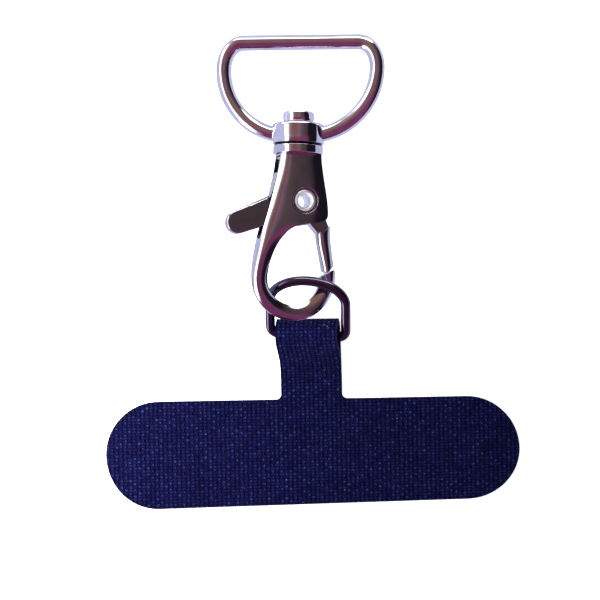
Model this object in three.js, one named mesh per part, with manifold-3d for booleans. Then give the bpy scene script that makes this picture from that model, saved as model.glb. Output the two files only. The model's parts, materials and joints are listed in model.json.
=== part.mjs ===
// Phone tether: a woven cloth tab with a small D-ring, and a lobster clasp with a swivel strap loop.
// Millimetres, +Z up. It lies on its back: pad towards -Y, strap loop towards +Y, origin under the middle.
import * as THREE from 'three';
import { mergeVertices } from 'three/addons/utils/BufferGeometryUtils.js';
import Module from 'manifold-3d';

const wasm = await Module();
wasm.setup();

// Clearances
const fitGap = 0.3;          // between metal pieces that nearly touch
const ringPlay = 0.5;        // between the ring's bar and the fold of cloth around it

// Cloth tab
const clothWall = 1.0;
const padLength = 65;
const padWidth = 16.5;
const neckWidth = 9.6;
const neckLength = 12.8;     // from the pad's edge to the outside of the fold
const neckFillet = 0.8;      // inner corners where the neck leaves the pad
const tailLength = 7.0;      // bonded tail behind the neck, without its turn round the bar
const tailSkive = 5.0;       // stretch over which the tail's end is shaved to nothing
const foldSlack = 0.7;       // room along the neck for the bar to lie askew
const foldSlope = 3.2;       // stretch over which the fold closes down to two flat layers
const foldSliver = 0.02;     // narrowest room between the two layers, share of the wall for each step
const neckTwist = THREE.MathUtils.degToRad(9);   // the ring lifts the fold's right corner

// Small D-ring
const ringWire = 1.5;
const ringInnerWidth = 10.4;
const ringReach = 9.2;       // bar centre to the crown's centre line
const ringCrownRise = 3.7;   // height of the rounded crown
const ringCorner = 1.2;      // centre-line radius at the bar's ends
const ringPitch = THREE.MathUtils.degToRad(23);  // crown lifted
const ringRoll = THREE.MathUtils.degToRad(10);   // right side lifted
const ringYaw = THREE.MathUtils.degToRad(-4.5);  // right end lower on the cloth

// Clasp body: u across, v along the swivel axis from the pivot's level, w through the thickness
const hookWire = 2.35;       // hook's limb across
const hookDepth = 2.5;       // hook's limb through the thickness
const hookInner = 4.25;      // inner radius of the bend
const hookOffset = -0.35;    // bend centre beside the swivel axis
const pivotToBend = 11.8;
const pivotOffset = 0.67;    // pivot beside the swivel axis
const shoulderRise = 7.2;    // pivot to the flange's underside
const neckHalf = 3.2;        // housing's half width under the flange
const footHalf = 4.5;        // housing's half width at its lower corner
const footDrop = 2.85;       // pivot to that corner
const footBlunt = 0.35;      // that corner blunted
const mouthDrop = 3.6;       // pivot to the top of the hook's opening
const mouthEnd = 1.87;       // swivel axis to the right end of the mouth's level top
const thinStart = 4.6;       // pivot to where the casting starts to thin
const thinLength = 9.4;      // stretch over which it thins to the hook
const housingDepth = 4.8;    // housing through the thickness
const flangeRadius = 3.85;
const flangeHeight = 1.35;
const edgeRound = 0.45;
const slotBelowMouth = 1.7;  // slot cut on into the limb

// Trigger, eyelet and swivel
const bladeDepth = 1.8;
const gateDepth = 2.5;
const gateWidth = 2.4;
const gateLength = 6.0;      // sleeve along the gate
const gateDrop = 2.0;        // housing's lower corner to the gate
const gateRound = 0.3;
const leverReach = 10.75;    // pivot to the centre of the lever's round tip
const leverWidth = 3.6;
const leverDroop = THREE.MathUtils.degToRad(20);
const hubRadius = 2.5;
const eyeletBore = 0.98;     // radii
const eyeletShank = 1.25;
const eyeletHead = 1.75;
const eyeletLip = 0.45;
const eyeletProud = 0.1;     // rivet's head past the housing's face
const eyeletCurl = 0.2;      // rounding of the rivet's head
const postRadius = 1.4;
const postSeat = 1.35;       // post inside the flange
const capRadius = 2.42;
const capHeight = 1.55;
const collarRadius = 4.05;
const collarHeight = 3.1;
const collarRound = 0.6;     // collar's rounded top edge

// Strap loop
const loopWire = 2.35;
const loopHalf = 12.06;      // swivel axis to the wire's centre at its widest
const loopBarHalf = 9.1;     // straight half of the strap bar
const loopShoulder = 4.05;   // widest point to the bar
const loopRise = 14.25;      // collar's middle to the bar's centre
const loopSweep = 10.4;      // radius of the side arcs

// How the metal lies
const claspRoll = THREE.MathUtils.degToRad(17.5);  // left limb over the ring, right limb under it
const claspPitch = THREE.MathUtils.degToRad(-4);   // hook end higher than the collar
const claspYaw = THREE.MathUtils.degToRad(-3.6);   // strap end leans right
const claspShift = -1.75;    // swivel axis beside the pad's middle, at the pivot
const hookOverlap = 0.25;    // bend's outer edge short of the fold
const restGap = 0.03;        // strap loop above the surface that the cloth lies on

function material(colour, roughness, metalness) {
  return new THREE.MeshStandardMaterial({ color: colour, roughness, metalness });
}

// A closed geometry with only positions and shared vertices
function weld(geometry, tolerance = 1e-4) {
  const bare = geometry.clone();
  bare.deleteAttribute('normal');
  bare.deleteAttribute('uv');
  return mergeVertices(bare, tolerance);
}

function solid(geometry) {
  const shared = weld(geometry);
  return new wasm.Manifold(new wasm.Mesh({
    numProp: 3,
    vertProperties: new Float32Array(shared.attributes.position.array),
    triVerts: new Uint32Array(shared.index.array),
  }));
}

function geometryOf(body) {
  const mesh = body.getMesh();
  const geometry = new THREE.BufferGeometry();
  geometry.setAttribute('position', new THREE.BufferAttribute(new Float32Array(mesh.vertProperties), 3));
  geometry.setIndex(new THREE.BufferAttribute(new Uint32Array(mesh.triVerts), 1));
  const faceted = geometry.toNonIndexed();
  faceted.computeVertexNormals();
  return faceted;
}

function piece(name, geometry, look) {
  const mesh = new THREE.Mesh(geometry, look);
  mesh.name = name;
  return mesh;
}

function circle(radius, sides) {
  const outline = new THREE.Shape();
  for (let i = 0; i < sides; i += 1) {
    const turn = (i + 0.5) * 2 * Math.PI / sides;
    const point = [radius * Math.cos(turn), radius * Math.sin(turn)];
    if (i === 0) outline.moveTo(...point);
    else outline.lineTo(...point);
  }
  return outline;
}

function wire(path, diameter, steps, sides) {
  return new THREE.ExtrudeGeometry(circle(diameter / 2, sides), { steps, extrudePath: path });
}

// A wire whose ends meet: the two end discs are dropped and the end rings welded
function closedWire(path, diameter, steps, sides) {
  const tube = wire(path, diameter, steps, sides);
  const walls = tube.groups.find((group) => group.materialIndex === 1);
  const positions = tube.attributes.position.array;
  const open = new THREE.BufferGeometry();
  const kept = positions.slice(walls.start * 3, (walls.start + walls.count) * 3);
  open.setAttribute('position', new THREE.BufferAttribute(kept, 3));
  return mergeVertices(open, 1e-3);
}

// A flat outline through the thickness, centred on w = 0
function plate(outline, depth, edge = 0) {
  const geometry = new THREE.ExtrudeGeometry(outline, {
    depth: depth - 2 * edge,
    bevelEnabled: edge > 0,
    bevelThickness: edge,
    bevelSize: edge,
    bevelOffset: -edge,
    bevelSegments: 2,
    curveSegments: 9,
  });
  geometry.translate(0, 0, edge - depth / 2);
  return geometry;
}

// A smooth line through a few points, added to an outline
function curveTo(outline, points, steps) {
  const curve = new THREE.SplineCurve([outline.currentPoint.clone(), ...points]);
  curve.getPoints(steps).slice(1).forEach((point) => outline.lineTo(point.x, point.y));
}

function polygon(points) {
  return new THREE.Shape(points.map(([u, v]) => new THREE.Vector2(u, v)));
}

// A turned piece on the v axis, from (radius, v) pairs
function turned(profile, sides) {
  const points = profile.map(([radius, v]) => new THREE.Vector2(radius, v));
  return new THREE.LatheGeometry(points, sides);
}

function smooth(share) {
  const t = Math.min(Math.max(share, 0), 1);
  return t * t * (3 - 2 * t);
}

// Cloth tab: stadium pad, neck, fold round the ring's bar and bonded tail, one solid
const foldInner = ringWire / 2 + ringPlay;
const foldOuter = foldInner + clothWall;
const foldEdge = padWidth / 2 + neckLength;
const barPlace = foldEdge - foldOuter;
const foldFlat = barPlace - foldSlack;
const foldPinch = foldFlat - foldSlope;
const tailEnd = foldFlat - tailLength;

function padOutline() {
  const half = padWidth / 2;
  const straight = padLength / 2 - half;
  const side = neckWidth / 2;
  const outline = new THREE.Shape();
  outline.moveTo(-straight, -half);
  outline.lineTo(straight, -half);
  outline.absarc(straight, 0, half, -Math.PI / 2, Math.PI / 2, false);
  outline.lineTo(side + neckFillet, half);
  outline.absarc(side + neckFillet, half + neckFillet, neckFillet, -Math.PI / 2, -Math.PI, true);
  outline.lineTo(side, half + 2 * neckFillet);
  outline.lineTo(-side, half + 2 * neckFillet);
  outline.absarc(-side - neckFillet, half + neckFillet, neckFillet, 0, -Math.PI / 2, true);
  outline.lineTo(-straight, half);
  outline.absarc(-straight, 0, half, Math.PI / 2, Math.PI * 1.5, false);
  return outline;
}

// Height of the front layer's upper face along the neck
function frontHeight(y) {
  const climb = clothWall * smooth((y - tailEnd) / tailSkive);
  const swell = 2 * (foldOuter - clothWall) * smooth((y - foldPinch) / foldSlope);
  return clothWall + climb + swell;
}

// The neck turns about its lower left edge, from none at the tail's end to all of it at the fold
function twistNeck(point) {
  const turn = neckTwist * smooth((point.y - tailEnd) / (foldFlat - tailEnd));
  const hinge = new THREE.Vector3(-neckWidth / 2, 0, 0);
  return point.clone().sub(hinge).applyAxisAngle(new THREE.Vector3(0, -1, 0), turn).add(hinge);
}

function neckStrip() {
  const start = padWidth / 2 + neckFillet;
  const outline = new THREE.Shape();
  outline.moveTo(start, 0);
  const flatSteps = 8;
  for (let i = 0; i < flatSteps; i += 1) {
    outline.lineTo(tailEnd + (foldFlat - tailEnd) * i / flatSteps, 0);
  }
  outline.lineTo(barPlace, 0);
  outline.absarc(barPlace, foldOuter, foldOuter, -Math.PI / 2, Math.PI / 2, false);
  const slopeSteps = 10;
  for (let i = 0; i <= slopeSteps; i += 1) {
    const y = foldFlat - foldSlope * i / slopeSteps;
    outline.lineTo(y, frontHeight(y));
  }
  const climbSteps = 6;
  for (let i = 1; i <= climbSteps; i += 1) {
    const y = foldPinch + (tailEnd - foldPinch) * i / climbSteps;
    outline.lineTo(y, frontHeight(y));
  }
  outline.lineTo(start, clothWall);

  const tunnel = new THREE.Path();
  tunnel.moveTo(barPlace, foldOuter + foldInner);
  tunnel.absarc(barPlace, foldOuter, foldInner, Math.PI / 2, -Math.PI / 2, true);
  for (let i = 1; i <= slopeSteps; i += 1) {
    const y = foldPinch + foldSlope * i / slopeSteps;
    tunnel.lineTo(y, Math.max(frontHeight(y) - clothWall, clothWall + foldSliver * i * clothWall));
  }
  outline.holes.push(tunnel);

  const strip = new THREE.ExtrudeGeometry(outline, {
    depth: neckWidth,
    bevelEnabled: false,
    curveSegments: 10,
  });
  strip.applyMatrix4(new THREE.Matrix4().set(0, 0, 1, -neckWidth / 2, 1, 0, 0, 0, 0, 1, 0, 0, 0, 0, 0, 1));
  const place = strip.attributes.position;
  for (let i = 0; i < place.count; i += 1) {
    const twisted = twistNeck(new THREE.Vector3().fromBufferAttribute(place, i));
    place.setXYZ(i, twisted.x, twisted.y, twisted.z);
  }
  return strip;
}

function clothTab() {
  const pad = new THREE.ExtrudeGeometry(padOutline(), {
    depth: clothWall,
    bevelEnabled: false,
    curveSegments: 20,
  });
  const body = solid(pad).add(solid(neckStrip()));
  return piece('cloth_tab', geometryOf(body), material(0x171845, 0.9, 0));
}

// Small D-ring: bar along x through its origin, crown towards +y
function ringPath() {
  const half = (ringInnerWidth + ringWire) / 2;
  const legTop = ringReach - ringCrownRise;
  const path = new THREE.CurvePath();
  const at = (x, y) => new THREE.Vector3(x, y, 0);
  const arc = (x, y, rx, ry, from, to) => {
    const curve = new THREE.EllipseCurve(x, y, rx, ry, from, to, false);
    const points = curve.getPoints(12).map((p) => at(p.x, p.y));
    return new THREE.CatmullRomCurve3(points, false, 'centripetal');
  };
  const inset = half - ringCorner;
  path.add(new THREE.LineCurve3(at(0, 0), at(inset, 0)));
  path.add(arc(inset, ringCorner, ringCorner, ringCorner, -Math.PI / 2, 0));
  path.add(new THREE.LineCurve3(at(half, ringCorner), at(half, legTop)));
  path.add(arc(0, legTop, half, ringCrownRise, 0, Math.PI / 2));
  path.add(arc(0, legTop, half, ringCrownRise, Math.PI / 2, Math.PI));
  path.add(new THREE.LineCurve3(at(-half, legTop), at(-half, ringCorner)));
  path.add(arc(-inset, ringCorner, ringCorner, ringCorner, Math.PI, Math.PI * 1.5));
  path.add(new THREE.LineCurve3(at(-inset, 0), at(0, 0)));
  return path;
}

function tabRing() {
  const geometry = closedWire(ringPath(), ringWire, 72, 12);
  return piece('tab_ring', geometryOf(solid(geometry)), material(0x3a3440, 0.25, 1));
}

// Clasp body
const bendOuter = hookInner + hookWire;
const flangeTop = shoulderRise + flangeHeight;
const slotDepth = bladeDepth + 2 * fitGap;
const rivetGap = fitGap * 0.7;
const rivetSeat = housingDepth / 2 - eyeletLip + eyeletProud;

// The gate's lower end and the hook's tip face each other along this broken line, low point in the middle
const gateRoot = new THREE.Vector2(footHalf - gateWidth * 0.62, -footDrop - gateDrop);
const gateFoot = gateRoot.clone().add(new THREE.Vector2(gateLength * 0.2, -gateLength * 0.93));

function tipLine(drop, undercut = 0) {
  return [
    [gateFoot.x - undercut / 2, gateFoot.y - drop - undercut],
    [gateFoot.x + gateWidth * 0.31, gateFoot.y - gateWidth * 0.12 - drop],
    [gateFoot.x + gateWidth * 0.8, gateFoot.y + gateWidth * 0.37 - drop],
  ];
}

// Left edge of the housing and the hook's outer limb: share of the way from flange to bend, and
// share of the way from the neck's half width to the bend's outer reach
const outerSide = [
  [0.06, 0.00], [0.16, 0.07], [0.27, 0.20], [0.38, 0.34], [0.50, 0.50],
  [0.62, 0.67], [0.74, 0.83], [0.86, 0.94],
];

// Inner edge of the hook's limb: share of the drop from mouth to bend, share of the inner reach
const innerSide = [
  [0.82, 0.99], [0.66, 0.93], [0.50, 0.83], [0.34, 0.68], [0.22, 0.50], [0.11, 0.30], [0.03, 0.12],
];

// Right edge of the housing, from the lower corner up: share of the way from foot to neck, share of rise
const rightSide = [[0.12, 0], [0.65, 0.45], [0.96, 0.8]];

// Slot's closed corners under the flange: share of the neck's half width, share of the rise
const slotCorners = [[-1, 0.98], [-0.75, 0.88], [0.45, 0.86], [0.8, 0.58]];

// Flange, from its cone up: share of its radius, share of its height above the shoulder
const flangeSide = [[0.66, -0.67], [0.91, -0.07], [1, 0.19], [1, 0.81], [0.94, 1]];

function bodyOutline() {
  const bend = new THREE.Vector2(hookOffset, -pivotToBend);
  const outline = new THREE.Shape();
  outline.moveTo(-neckHalf, shoulderRise + flangeHeight / 2);
  const reach = bendOuter - hookOffset - neckHalf;
  const fall = shoulderRise + pivotToBend;
  curveTo(outline, outerSide.map(([down, out]) => (
    new THREE.Vector2(-neckHalf - reach * out, shoulderRise - fall * down)
  )), 14);
  outline.absarc(bend.x, bend.y, bendOuter, Math.PI, 2 * Math.PI, false);
  const tip = tipLine(fitGap * 1.25, gateWidth * 0.3);
  outline.lineTo(tip[2][0], tip[2][1]);
  outline.lineTo(tip[1][0], tip[1][1]);
  outline.lineTo(tip[0][0], tip[0][1]);
  outline.absarc(bend.x, bend.y, hookInner, 0, -Math.PI, true);
  const drop = pivotToBend - mouthDrop;
  curveTo(outline, innerSide.map(([up, out]) => (
    new THREE.Vector2(hookOffset - hookInner * out, -mouthDrop - drop * up)
  )), 12);
  outline.lineTo(mouthEnd, -mouthDrop);
  outline.lineTo(footHalf - footBlunt, -footDrop - footBlunt * 0.3);
  outline.lineTo(footHalf, -footDrop + footBlunt);
  for (const [narrower, up] of rightSide) {
    outline.lineTo(footHalf - (footHalf - neckHalf) * narrower, shoulderRise * up);
  }
  outline.lineTo(neckHalf, shoulderRise + flangeHeight / 2);
  return outline;
}

// The casting thins from the housing down to the hook
function thin(geometry) {
  const place = geometry.attributes.position;
  for (let i = 0; i < place.count; i += 1) {
    const share = smooth((-thinStart - place.getY(i)) / thinLength);
    const depth = housingDepth + (hookDepth - housingDepth) * share;
    place.setZ(i, place.getZ(i) * depth / housingDepth);
  }
  return geometry;
}

function slotOutline() {
  const out = bendOuter * 1.3;
  const hubSide = hubRadius + pivotOffset + fitGap;
  return polygon([
    [-out, shoulderRise * slotCorners[0][1]],
    ...slotCorners.map(([across, up]) => [neckHalf * across, shoulderRise * up]),
    [hubSide, shoulderRise * 0.22], [hubSide, hubRadius * 0.3], [out, hubRadius * 0.3],
    [out, -mouthDrop - slotBelowMouth], [-out, -mouthDrop - slotBelowMouth],
  ]);
}

function round(radius, depth, u, v, w, sides = 24) {
  const drum = new THREE.CylinderGeometry(radius, radius, depth, sides);
  drum.rotateX(Math.PI / 2);
  drum.translate(u, v, w);
  return drum;
}

function claspBody() {
  let body = solid(thin(plate(bodyOutline(), housingDepth, edgeRound)));
  const side = flangeSide.map(([out, up]) => [flangeRadius * out, shoulderRise + flangeHeight * up]);
  const flange = turned([[0, side[0][1]], ...side, [0, side[side.length - 1][1]]], 32);
  body = body.add(solid(flange));
  body = body.subtract(solid(plate(slotOutline(), slotDepth)));
  body = body.subtract(solid(round(eyeletShank + rivetGap, housingDepth * 2, pivotOffset, 0, 0)));
  for (const face of [-1, 1]) {
    const middle = face * (rivetSeat - fitGap + housingDepth / 2);
    const recess = round(eyeletHead + fitGap, housingDepth, pivotOffset, 0, middle);
    body = body.subtract(solid(recess));
  }
  const boreFoot = flangeTop - postSeat - fitGap;
  const boreTop = flangeTop + postSeat;
  const bore = turned([
    [0, boreFoot], [postRadius + fitGap, boreFoot], [postRadius + fitGap, boreTop], [0, boreTop],
  ], 20);
  body = body.subtract(solid(bore));
  return piece('clasp_body', geometryOf(body), material(0x8d8792, 0.2, 1));
}

// Trigger's blade: share of footHalf across, share of shoulderRise along
const bladeLeft = [[-0.789, 0.61], [-0.973, 0.28], [-1.078, 0.014]];
const bladeFoot = [[-0.498, -0.639], [-0.089, -0.451], [0.416, -0.472]];
const bladeHub = [
  [1.044, -0.368], [1.011, -0.042], [0.677, 0.035], [0.538, 0.26], [0.149, 0.365], [-0.391, 0.55],
];

// Gate's sleeve, beside its upper end: shares of gateWidth. The middle of each long side bulges a little.
const sleeveTop = [[0.95, 0.3], [0.33, -0.08]];
const sleeveBulge = { left: [-0.05, 0], right: [0.52, 0.165] };

// Arm from the blade to the sleeve: shares of gateWidth beside the gate's upper end
const armEnd = [[0.04, -0.25], [0.95, -0.15], [1.03, 0.43]];

// Trigger: lever, blade and gate in one piece, drawn at rest
function trigger() {
  const along = new THREE.Vector2(-Math.cos(leverDroop), -Math.sin(leverDroop));
  const across = new THREE.Vector2(-along.y, along.x);
  const tip = along.clone().multiplyScalar(leverReach).add(new THREE.Vector2(pivotOffset, 0));
  const half = leverWidth / 2;
  const leverRoot = leverReach * 0.52;
  const side = (distance, offset) => {
    const point = along.clone().multiplyScalar(distance).addScaledVector(across, offset);
    return [point.x + pivotOffset, point.y];
  };
  const outline = new THREE.Shape();
  const edge = ([out, up]) => [footHalf * out, shoulderRise * up];
  outline.moveTo(...edge(bladeLeft[0]));
  bladeLeft.slice(1).forEach((corner) => outline.lineTo(...edge(corner)));
  outline.lineTo(...side(leverRoot, -half));
  outline.lineTo(...side(leverReach, -half));
  const start = Math.atan2(-across.y, -across.x);
  outline.absarc(tip.x, tip.y, half, start, start + Math.PI, false);
  outline.lineTo(...side(leverRoot, half));
  bladeFoot.forEach((corner) => outline.lineTo(...edge(corner)));
  const beside = (corner, [out, up]) => [corner[0] + gateWidth * out, corner[1] + gateWidth * up];
  const root = [gateRoot.x, gateRoot.y];
  armEnd.forEach((shares) => outline.lineTo(...beside(root, shares)));
  bladeHub.forEach((corner) => outline.lineTo(...edge(corner)));
  let body = solid(plate(outline, bladeDepth));

  const sleeve = new THREE.Shape();
  const foot = tipLine(0);
  const halfway = ([u, v]) => [(gateRoot.x + u) / 2, (gateRoot.y + v) / 2];
  sleeve.moveTo(...root);
  sleeve.lineTo(...beside(halfway(foot[0]), sleeveBulge.left));
  foot.forEach((corner) => sleeve.lineTo(...corner));
  sleeve.lineTo(...beside(halfway(foot[2]), sleeveBulge.right));
  sleeveTop.forEach((shares) => sleeve.lineTo(...beside(root, shares)));
  body = body.add(solid(plate(sleeve, gateDepth, gateRound)));
  body = body.subtract(solid(round(eyeletShank + rivetGap, bladeDepth * 2, pivotOffset, 0, 0)));
  return piece('trigger', geometryOf(body), material(0x5c5250, 0.3, 1));
}

// Hollow rivet through housing and trigger
function pivotEyelet() {
  const top = rivetSeat + eyeletLip;
  const half = [
    [eyeletShank, rivetSeat], [eyeletHead, rivetSeat], [eyeletHead, rivetSeat + eyeletCurl],
    [eyeletHead - eyeletCurl, top], [eyeletBore + eyeletCurl * 1.5, top], [eyeletBore, rivetSeat],
  ];
  const back = half.map(([radius, height]) => [radius, -height]).reverse();
  const sleeve = turned([...back, ...half, back[0]], 24);
  sleeve.rotateX(Math.PI / 2);
  sleeve.translate(pivotOffset, 0, 0);
  return piece('pivot_eyelet', geometryOf(solid(sleeve)), material(0xc9c4cf, 0.2, 1));
}

// Swivel: post and cap on the body, collar and strap loop turning on the post
const collarFoot = flangeTop + fitGap;
const collarTop = collarFoot + collarHeight;

function swivelPost() {
  const foot = flangeTop - postSeat;
  const capFoot = collarTop + fitGap;
  const geometry = turned([
    [0, foot], [postRadius, foot], [postRadius, capFoot], [capRadius, capFoot],
    [capRadius, capFoot + capHeight * 0.55], [capRadius * 0.92, capFoot + capHeight * 0.85],
    [capRadius * 0.75, capFoot + capHeight], [0, capFoot + capHeight],
  ], 28);
  return piece('swivel_post', geometryOf(solid(geometry)), material(0x8d8792, 0.2, 1));
}

function loopPath() {
  const middle = (collarFoot + collarTop) / 2;
  const bar = middle + loopRise;
  const widest = bar - loopShoulder;
  const sink = collarRadius * 0.8;
  const points = [];
  const from = Math.acos((sink - loopHalf + loopSweep) / loopSweep);
  const sideSteps = 12;
  for (let i = 0; i <= sideSteps; i += 1) {
    const turn = -from + from * i / sideSteps;
    points.push([loopHalf - loopSweep + loopSweep * Math.cos(turn), widest + loopSweep * Math.sin(turn)]);
  }
  const cornerSteps = 7;
  for (let i = 1; i <= cornerSteps; i += 1) {
    const turn = Math.PI / 2 * i / cornerSteps;
    const inward = (loopHalf - loopBarHalf) * (1 - Math.cos(turn));
    points.push([loopHalf - inward, widest + loopShoulder * Math.sin(turn)]);
  }
  points.push([loopBarHalf / 2, bar]);
  const right = points.map(([u, v]) => new THREE.Vector3(u, v, 0));
  const left = points.map(([u, v]) => new THREE.Vector3(-u, v, 0)).reverse();
  return new THREE.CatmullRomCurve3([...right, new THREE.Vector3(0, bar, 0), ...left], false, 'centripetal');
}

function strapLoop() {
  const collar = turned([
    [postRadius + fitGap, collarFoot], [collarRadius - collarRound * 0.4, collarFoot],
    [collarRadius, collarFoot + collarRound * 0.4], [collarRadius, collarTop - collarRound],
    [collarRadius - collarRound / 3, collarTop - collarRound / 3], [collarRadius - collarRound, collarTop],
    [postRadius + fitGap, collarTop], [postRadius + fitGap, collarFoot],
  ], 32);
  let body = solid(wire(loopPath(), loopWire, 72, 12)).add(solid(collar));
  const bore = turned([
    [0, collarFoot - collarHeight], [postRadius + fitGap, collarFoot - collarHeight],
    [postRadius + fitGap, collarTop + collarHeight], [0, collarTop + collarHeight],
  ], 32);
  body = body.subtract(solid(bore));
  return piece('strap_loop', geometryOf(body), material(0x96909c, 0.2, 1));
}

// Assembly
const tether = new THREE.Group();
tether.add(clothTab());

const ring = tabRing();
ring.rotation.set(ringPitch, -ringRoll, ringYaw, 'ZYX');
ring.position.copy(twistNeck(new THREE.Vector3(0, barPlace - foldSlack / 2, foldOuter)));
tether.add(ring);

const clasp = new THREE.Group();
const strap = strapLoop();
clasp.add(claspBody(), trigger(), pivotEyelet(), swivelPost(), strap);
clasp.rotation.set(claspPitch, claspRoll, claspYaw, 'ZYX');
const bendReach = pivotToBend + bendOuter;
const axisHeight = collarRadius + restGap - (collarFoot + collarTop) / 2 * Math.sin(claspPitch);
clasp.position.set(claspShift, foldEdge - hookOverlap + bendReach, axisHeight);

// The strap loop turns on its post until its left side touches the surface
const widestHeight = collarRadius + restGap + (loopRise - loopShoulder) * Math.sin(claspPitch);
strap.rotation.y = -Math.asin((widestHeight - loopWire / 2 - restGap) / loopHalf) - claspRoll;
tether.add(clasp);

const whole = new THREE.Group();
whole.add(tether);
const box = new THREE.Box3().setFromObject(whole, true);
tether.position.set(-(box.min.x + box.max.x) / 2, -(box.min.y + box.max.y) / 2, -box.min.z);

export default whole;
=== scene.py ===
import json
import math

import bmesh
import bpy
from bpy.props import FloatProperty, FloatVectorProperty, PointerProperty
from bpy.types import Operator, Panel, PropertyGroup
from mathutils import Euler, Matrix, Vector


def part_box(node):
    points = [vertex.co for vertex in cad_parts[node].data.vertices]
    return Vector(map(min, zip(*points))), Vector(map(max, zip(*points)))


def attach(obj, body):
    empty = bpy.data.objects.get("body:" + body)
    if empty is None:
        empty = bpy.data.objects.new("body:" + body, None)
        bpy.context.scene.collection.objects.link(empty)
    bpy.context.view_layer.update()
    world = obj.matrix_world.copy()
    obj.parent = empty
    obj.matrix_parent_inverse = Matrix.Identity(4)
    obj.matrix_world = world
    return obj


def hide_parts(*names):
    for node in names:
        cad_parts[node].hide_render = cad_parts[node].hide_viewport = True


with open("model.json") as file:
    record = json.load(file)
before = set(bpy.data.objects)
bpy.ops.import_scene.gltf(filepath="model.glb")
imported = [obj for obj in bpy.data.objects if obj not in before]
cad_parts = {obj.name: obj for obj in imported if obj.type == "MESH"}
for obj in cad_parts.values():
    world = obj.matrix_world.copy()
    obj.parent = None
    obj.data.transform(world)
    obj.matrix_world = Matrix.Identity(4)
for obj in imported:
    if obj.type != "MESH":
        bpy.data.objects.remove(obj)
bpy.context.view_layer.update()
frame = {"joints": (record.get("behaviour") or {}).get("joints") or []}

bl_info = {
    "name": "Phone tether",
    "version": (1, 0, 0),
    "blender": (4, 5, 0),
    "location": "View3D > Sidebar > Tether",
    "description": "Cloth tab, small ring, trigger clasp and swivel strap loop",
    "category": "Add Mesh",
}

MM = 0.001
TINY, NEAR = 1e-7, 1e-5  # metres between points that are one, in a mesh and in a line
METAL_SHARP, CLOTH_SHARP = 40, 50  # degrees from which an edge stays sharp
FLAT_UNIT = 0.1  # metres of the flat cut to one unit of its UV map
UP = Vector((0, 0, 1))
ALONG = Vector((0, 1, 0))
JOINTS = {joint["name"]: joint for joint in frame["joints"]}


# Settings

def length(name, description, value):
    """A size in metres, given here in millimetres."""
    return FloatProperty(
        name=name, description=description, default=value * MM, min=0, unit="LENGTH", precision=5
    )


def angle(name, description, degrees):
    return FloatProperty(
        name=name, description=description, default=math.radians(degrees), unit="ROTATION"
    )


def number(name, description, value):
    return FloatProperty(name=name, description=description, default=value, min=0)


def colour(name, thing, value):
    return FloatVectorProperty(
        name=name, description="Colour of " + thing, default=value, min=0, max=1, subtype="COLOR"
    )


class ClothSettings(PropertyGroup):
    wall: length("Thickness", "Cloth through its layers", 0.96)
    pad_length: length("Pad length", "Pad from end to end", 65)
    pad_width: length("Pad width", "Pad across, also its ends' diameter", 16.5)
    neck_width: length("Neck width", "Neck between the pad and the ring", 9.6)
    neck_fillet: length("Inner corners", "Radius where the neck leaves the pad", 0.8)
    bar_reach: length("Bar", "Pad's middle to the bar in the fold", 18.8)
    fold_radius: length("Fold", "Middle of the cloth's wall to the bar", 1.75)
    tail_start: length("Tail", "Pad's middle to the end of the bonded tail", 11.1)
    twist: angle("Twist", "Turn of the neck at the fold, which lifts its right corner", 9)
    thread_across: length("Thread across", "Pitch of the weave across the tab", 0.70)
    thread_along: length("Thread along", "Pitch of the weave along the neck", 0.47)
    slant: number("Slant", "How much the lower edge spreads, per metre to the left", 1.8)
    navy: colour("Navy", "the threads", (0.0060, 0.0056, 0.041))
    # Navy of the painted shade in the gaps between the threads
    weave_shade: colour("Shaded navy", "the gaps between the threads", (0.0030, 0.0027, 0.021))
    # Light blue of the painted sheen on the thread tops
    thread_sheen: colour("Thread tops", "the threads where they pass over", (0.020, 0.050, 0.160))
    lint: colour("Lint", "the specks of lint", (0.33, 0.34, 0.46))


class RingSettings(PropertyGroup):
    wire: length("Wire", "Diameter of the small ring's wire", 1.5)
    inner_width: length("Inner width", "Room for the cloth on the bar", 10.4)
    reach: length("Reach", "Bar to the crown, centre to centre", 9.2)
    crown: length("Crown", "Height of the round crown", 3.7)
    corner: length("Corner", "Radius at the ends of the bar", 1.2)
    pitch: angle("Pitch", "Lift of the crown", 23)
    roll: angle("Roll", "Lift of the right side", -10)
    yaw: angle("Yaw", "Turn on the cloth", -4.5)
    metal: colour("Nickel", "the dark nickel", (0.125, 0.110, 0.165))


class ClaspSettings(PropertyGroup):
    pivot_across: length("Pivot", "Pivot beside the swivel's axis", 0.67)
    housing_depth: length("Housing depth", "Housing through its thickness", 4.8)
    hook_depth: length("Hook depth", "Hook's limb through its thickness", 2.5)
    slot_depth: length("Slot", "Room for the trigger between the two cheeks", 2.4)
    rounding: length("Rounding", "Rounding of the casting's outer edges", 0.55)
    blade_depth: length("Blade", "Trigger plate through its thickness", 1.8)
    lever_reach: length("Lever reach", "Pivot to the middle of the lever's round end", 10.75)
    lever_width: length("Lever width", "Lever across", 3.6)
    lever_droop: angle("Lever droop", "Slope of the lever", 20)
    metal: colour("Chrome", "the plated casting", (0.71, 0.67, 0.74))
    steel: colour("Trigger", "the plated trigger", (0.62, 0.57, 0.62))
    rivet: colour("Rivet", "the hollow rivet", (0.96, 0.95, 0.98))


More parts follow.
